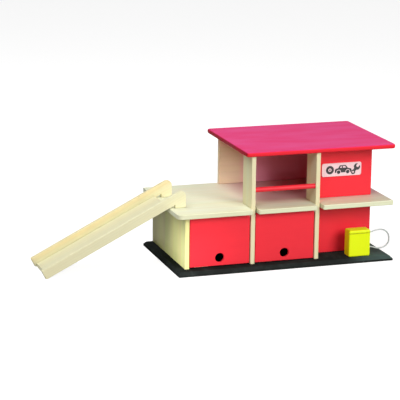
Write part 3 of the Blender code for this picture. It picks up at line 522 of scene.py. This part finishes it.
def bright_steel():
    """Zinc-plated steel with fine lines from drawing."""
    finish = Finish("zinc_steel")
    lines = finish.streaks(finish.place, **STEEL_LINES)
    finish.set(Base_Color=finish.mix(lines, STEEL_DARK, STEEL_BRIGHT), Metallic=1.0,
               Roughness=finish.ramp(lines, *STEEL_ROUGHNESS),
               Normal=finish.relief(lines, STEEL_LINE_DEPTH))
    return finish.material


def pump_groove():
    """The box of the saw cut across the fuel pump, from just inside the pump's front face."""
    low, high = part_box("fuel_pump")
    middle = high.z - GROOVE_DROP
    reach = GROOVE_WIDTH / 2 + GROOVE_SKIN
    return (Vector((low.x, low.y + GROOVE_SKIN, middle - reach)),
            Vector((high.x, low.y + GROOVE_DEPTH + GROOVE_SKIN, middle + reach)))


def dress(node, material):
    """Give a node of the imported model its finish."""
    slots = nodes[node].data.materials
    slots.clear()
    slots.append(material)


def red_paint(node, turn, seed):
    """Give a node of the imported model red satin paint."""
    dress(node, painted_wood(f"red_{node}", RED, RED_DEEP, turn, seed, RED_ROUGHNESS))


def dress_all():
    """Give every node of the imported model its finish."""
    slope = along_slope()
    grains = {
        "side_panel_left": ALONG_Z, "partition_left": ALONG_Z, "partition_right": ALONG_Z,
        "rear_wall_lower": ALONG_X, "rear_wall_upper": ALONG_X, "floor_board": ALONG_X,
        "door_stop_left": ALONG_X, "door_stop_middle": ALONG_X, "ramp_board": slope,
        "ramp_rail_front": slope, "ramp_rail_rear": slope,
    }
    warmth = {"ramp_rail_rear": 1.0, "ramp_rail_front": 0.25, "ramp_board": 0.2,
              "floor_board": 0.3}
    # the upper rear wall's tone holds a painted red reflection; the others are the boards' own
    # tones
    tones = {"floor_board": WOOD_CREAM, "side_panel_left": WOOD_STRAW,
             "rear_wall_upper": WOOD_WITH_RED_BOUNCE}
    # painted shade on the side panel, and painted shadow with red reflection in the room
    painted_light_tones = {"side_panel_left": PANEL_REAR_SHADE, "floor_board": ROOM_FLOOR_SHADOW, "rear_wall_upper": ROOM_WALL_RED_BOUNCE}
    sides = ("side_wall_lower", "side_wall_upper")
    fronts = ("door_left", "door_middle", "front_wall_lower", "front_wall_upper", "railing")
    for seed, node in enumerate(sides, start=SIDE_SEED):
        red_paint(node, ALONG_Z, seed)
    for seed, (node, turn) in enumerate(grains.items(), start=BOARD_SEED):
        dress(node, natural_wood(f"wood_{node}", turn, seed, warmth.get(node, WARMTH),
                                 tones.get(node, WOOD_PALE), painted_light_tones.get(node)))
    dowel = natural_wood("wood_dowels", ALONG_Z, DOWEL_SEED)
    steel = bright_steel()
    for node in nodes:
        if "dowel" in node:
            dress(node, dowel)
        if "screw" in node or "brad" in node or "hinge_pin" in node:
            dress(node, steel)
    for seed, node in enumerate(fronts, start=FRONT_SEED):
        red_paint(node, ALONG_X, seed)
    # the roof's top takes a painted sheen and its left end painted shade
    dress("roof_board", painted_wood("red_roof_board", RED, RED_DEEP, ALONG_X, ROOF_SEED,
                                     ROOF_ROUGHNESS, ROOF_TOP_SHEEN, ROOF_LEFT_SHADE,
                                     gloss=ROOF_GLOSS))
    # the pump's top and left faces take a painted red reflection, and its saw cut painted shade
    dress("fuel_pump", painted_wood("yellow_fuel_pump", YELLOW, YELLOW_DEEP, ALONG_Z, PUMP_SEED,
                                    PUMP_ROUGHNESS, PUMP_TOP_REFLECTION, PUMP_LEFT_REFLECTION, pump_groove()))
    dress("base_board", black_base())
    dress("sign_plate", sign_white())


def hose_route():
    """The hose's points in the frame, from its end in the upper hole to its end in the lower."""
    low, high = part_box("fuel_pump")
    middle = (low.y + high.y) / 2
    base_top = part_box("base_board")[1].z
    loop = ((-HOSE_SEAT, HOSE_TOP_HEIGHT), (-HOSE_SEAT / 2, HOSE_TOP_HEIGHT), *HOSE_LOOP,
            (-HOSE_SEAT / 2, HOSE_BOTTOM_HEIGHT), (-HOSE_SEAT, HOSE_BOTTOM_HEIGHT))
    return [Vector((high.x + out, middle, base_top + height)) for out, height in loop]


def smooth_route(points, steps):
    """Points along a smooth curve through the given ones."""
    route = [points[0]]
    for index in range(len(points) - 1):
        before = points[max(index - 1, 0)]
        start, end = points[index], points[index + 1]
        after = points[min(index + 2, len(points) - 1)]
        for step in range(1, steps + 1):
            t = step / steps
            route.append(0.5 * (2 * start + (end - before) * t
                                + (2 * before - 5 * start + 4 * end - after) * t ** 2
                                + (3 * start - before - 3 * end + after) * t ** 3))
    return route


def pump_hose():
    """The clear hose in its loop, out of the pump and back into it."""
    route = smooth_route(hose_route(), HOSE_STEPS)
    curve = bpy.data.curves.new("pump_hose_tube", "CURVE")
    curve.dimensions = "3D"
    curve.bevel_depth = HOSE_DIAMETER / 2
    curve.bevel_resolution = HOSE_ROUNDNESS
    curve.use_fill_caps = True
    line = curve.splines.new("POLY")
    line.points.add(len(route) - 1)
    for point, place in zip(line.points, route):
        point.co = (*place, 1)
    line.use_smooth = True
    hose = put("pump_hose_tube", curve, clear_plastic(), "frame")
    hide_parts("pump_hose")


def circle(centre, radius, ends=FULL_CIRCLE, steps=CIRCLE_STEPS):
    """Points of an arc on the sign, in print units."""
    start, end = ends
    turns = [math.radians(start + (end - start) * step / steps)
             for step in range(steps if ends == FULL_CIRCLE else steps + 1)]
    return [(centre[0] + radius * math.cos(turn), centre[1] + radius * math.sin(turn))
            for turn in turns]


def tyre_print():
    """A tyre seen from the side: a ring and its hub."""
    return [circle((TYRE_LEFT + PRINT_MIDDLE, PRINT_MIDDLE), radius) for radius in TYRE_RADII]


def car_print():
    """A car seen from the side, with its windows and wheels cut out."""
    body = list(CAR_BODY)
    for x in reversed(CAR_WHEELS):
        body += circle((x, CAR_WHEEL_HEIGHT), CAR_ARCH_RADIUS, CAR_ARCH_ENDS, CAR_ARCH_STEPS)
    wheels = [circle((x, CAR_WHEEL_HEIGHT), CAR_WHEEL_RADIUS) for x in CAR_WHEELS]
    return [[(CAR_LEFT + x, y) for x, y in outline] for outline in (body, *CAR_WINDOWS, *wheels)]


def spanner_print():
    """An open-ended spanner on the slant, from its jaw at the top to its ring at the bottom."""
    ring = circle(SPANNER_RING, SPANNER_RING_RADIUS, SPANNER_RING_ENDS, SPANNER_RING_STEPS)
    other = [(-x, y) for x, y in reversed(SPANNER_JAW)]
    outline = [*SPANNER_JAW, *ring, *other, *SPANNER_MOUTH]
    turn = math.radians(SPANNER_LEAN)
    return [[(SPANNER_LEFT + PRINT_MIDDLE + x * math.cos(turn) - y * math.sin(turn),
              PRINT_MIDDLE + x * math.sin(turn) + y * math.cos(turn)) for x, y in points]
            for points in (outline, circle(SPANNER_RING, SPANNER_HOLE_RADIUS))]


def sign_print():
    """Generic pictures of the garage's work, printed on the sign plate."""
    low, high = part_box("sign_plate")
    outlines = tyre_print() + car_print() + spanner_print()
    width = max(x for outline in outlines for x, y in outline)
    curve = bpy.data.curves.new("sign_print", "CURVE")
    curve.dimensions = "2D"
    curve.fill_mode = "BOTH"
    curve.extrude = PRINT_THICK / 2
    for outline in outlines:
        line = curve.splines.new("POLY")
        line.points.add(len(outline) - 1)
        for point, (x, y) in zip(line.points, outline):
            point.co = ((x - width / 2) * PRINT_HEIGHT, (y - PRINT_MIDDLE) * PRINT_HEIGHT, 0, 1)
        line.use_cyclic_u = True
    printed = bpy.data.objects.new("sign_print_outline", curve)
    bpy.context.scene.collection.objects.link(printed)
    mesh = bpy.data.meshes.new_from_object(
        printed.evaluated_get(bpy.context.evaluated_depsgraph_get()))
    bpy.data.objects.remove(printed)
    middle = ((low.x + high.x) / 2 + PRINT_SHIFT, low.y - PRINT_PROUD, (low.z + high.z) / 2)
    mesh.transform(Matrix.Translation(middle) @ Matrix.Rotation(math.pi / 2, 4, "X"))
    mesh.materials.clear()
    piece = put("sign_print", mesh, sign_ink(), "frame")


def make_camera():
    """The camera, at the photograph's angle and distance."""
    azimuth = math.radians(CAMERA_AZIMUTH)
    elevation = math.radians(CAMERA_ELEVATION)
    back = Vector((math.sin(azimuth) * math.cos(elevation),
                   -math.cos(azimuth) * math.cos(elevation), math.sin(elevation)))
    right = Vector((math.cos(azimuth), math.sin(azimuth), 0))
    upright = Matrix((right, back.cross(right), back)).transposed().to_4x4()
    lens = bpy.data.cameras.new("camera")
    lens.lens = CAMERA_LENS
    lens.sensor_width = CAMERA_SENSOR
    lens.clip_end = CAMERA_CLIP
    camera = bpy.data.objects.new("camera", lens)
    bpy.context.scene.collection.objects.link(camera)
    place = Matrix.Translation(Vector(CAMERA_AIM) + CAMERA_DISTANCE * back)
    turn = Matrix.Rotation(math.radians(CAMERA_ROLL), 4, "Z")
    camera.matrix_world = place @ upright @ turn
    bpy.context.scene.camera = camera


def softbox(name, place, size, power, colour=WHITE, aim=GARAGE_MIDDLE, spread=WIDE_SPREAD):
    """A square lamp that faces the garage, with its light narrowed to a cone if asked for."""
    lamp = bpy.data.lights.new(name, "AREA")
    lamp.size = size
    lamp.energy = power
    lamp.color = colour
    lamp.spread = math.radians(spread)
    holder = bpy.data.objects.new(name, lamp)
    bpy.context.scene.collection.objects.link(holder)
    holder.location = place
    holder.rotation_euler = (Vector(aim) - Vector(place)).to_track_quat("-Z", "Y").to_euler()


def seen_directly(tree):
    """1 for rays that show the background itself: from the camera, off gloss or through glass."""
    rays = tree.nodes.new("ShaderNodeLightPath").outputs
    total = rays["Is Camera Ray"]
    for kind in ("Is Glossy Ray", "Is Transmission Ray"):
        either = tree.nodes.new("ShaderNodeMath")
        either.operation = "MAXIMUM"
        tree.links.new(total, either.inputs[0])
        tree.links.new(rays[kind], either.inputs[1])
        total = either.outputs[0]
    return total


def make_world():
    """A faint sky that the camera, gloss and glass see as white."""
    world = bpy.data.worlds.new("studio")
    bpy.context.scene.world = world
    world.use_nodes = True
    tree = world.node_tree
    sky = tree.nodes["Background"]
    sky.inputs["Color"].default_value = (*SKY_COLOUR, 1)
    sky.inputs["Strength"].default_value = SKY_LEVEL
    white = tree.nodes.new("ShaderNodeBackground")
    white.inputs["Color"].default_value = (*WHITE, 1)
    white.inputs["Strength"].default_value = 1.0
    either = tree.nodes.new("ShaderNodeMixShader")
    tree.links.new(seen_directly(tree), either.inputs[0])
    tree.links.new(sky.outputs[0], either.inputs[1])
    tree.links.new(white.outputs[0], either.inputs[2])
    tree.links.new(either.outputs[0], tree.nodes["World Output"].inputs["Surface"])


def make_floor():
    """A pale floor that shows white, with the garage's shadow left faint."""
    shape = bmesh.new()
    bmesh.ops.create_grid(shape, x_segments=1, y_segments=1, size=FLOOR_SIZE / 2)
    mesh = bpy.data.meshes.new("floor")
    shape.to_mesh(mesh)
    shape.free()
    floor = bpy.data.objects.new("floor", mesh)
    bpy.context.scene.collection.objects.link(floor)
    material = bpy.data.materials.new("floor")
    material.use_nodes = True
    tree = material.node_tree
    surface = tree.nodes["Principled BSDF"]
    surface.inputs["Roughness"].default_value = FLOOR_ROUGHNESS
    seen = seen_directly(tree)
    shade = tree.nodes.new("ShaderNodeMapRange")
    shade.inputs["To Min"].default_value = FLOOR_SHADE
    shade.inputs["To Max"].default_value = FLOOR_SEEN
    tree.links.new(seen, shade.inputs["Value"])
    tree.links.new(shade.outputs["Result"], surface.inputs["Base Color"])
    glow = tree.nodes.new("ShaderNodeEmission")
    glow.inputs["Strength"].default_value = FLOOR_GLOW_LEVEL
    share = tree.nodes.new("ShaderNodeMath")
    share.operation = "MULTIPLY"
    share.inputs[1].default_value = FLOOR_GLOW
    tree.links.new(seen, share.inputs[0])
    both = tree.nodes.new("ShaderNodeMixShader")
    tree.links.new(share.outputs[0], both.inputs[0])
    tree.links.new(surface.outputs[0], both.inputs[1])
    tree.links.new(glow.outputs[0], both.inputs[2])
    tree.links.new(both.outputs[0], tree.nodes["Material Output"].inputs["Surface"])
    mesh.materials.append(material)


make_camera()
pump_hose()
dress_all()
sign_print()
make_world()
make_floor()
softbox("key", KEY_PLACE, KEY_SIZE, KEY_POWER, KEY_COLOUR)
softbox("top", TOP_PLACE, TOP_SIZE, TOP_POWER)
softbox("fill", FILL_PLACE, FILL_SIZE, FILL_POWER)
softbox("side", SIDE_PLACE, SIDE_SIZE, SIDE_POWER, aim=SIDE_AIM, spread=SIDE_SPREAD)
bpy.context.scene.view_settings.view_transform = "Standard"
